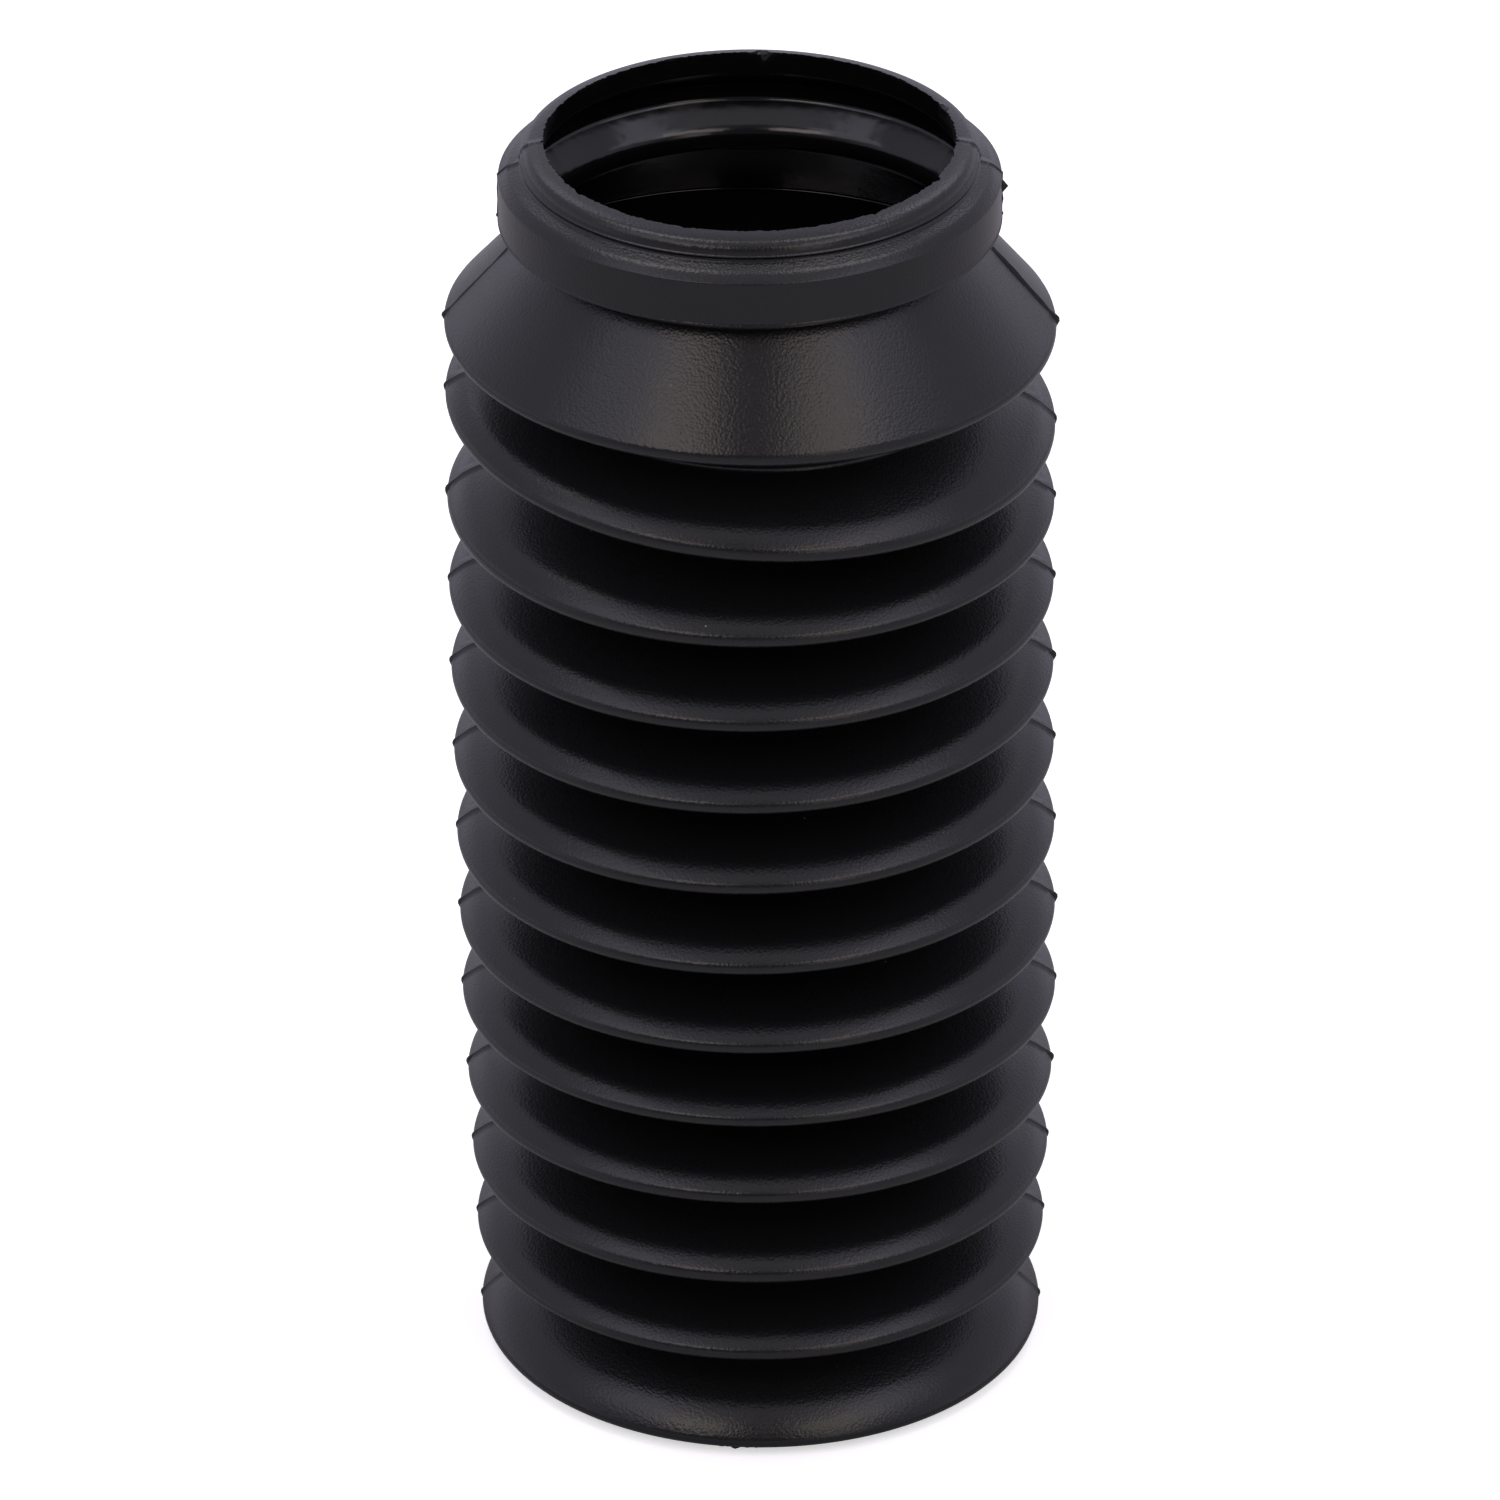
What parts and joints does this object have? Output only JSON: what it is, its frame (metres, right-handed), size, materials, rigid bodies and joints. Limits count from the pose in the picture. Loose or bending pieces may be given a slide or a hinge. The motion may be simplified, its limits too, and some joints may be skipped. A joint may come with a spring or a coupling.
{
  "type": "rubber bellows boot",
  "caption": "Black rubber bellows dust boot, open at both ends, with round folds below a snap-in collar and a short neck.",
  "frame": {"origin": "centre of the lower mouth, on the plane of its trimmed rim", "axes": "+Z along the boot's axis from the lower mouth to the neck; the mould's parting line lies in the XZ plane"},
  "size_m": [0.075, 0.075, 0.1661],
  "materials": {
    "black_rubber": "satin, finely grained moulded surface"
  },
  "bodies": {
    "root": {"bellows_boot": "black_rubber"}
  },
  "joints": []
}
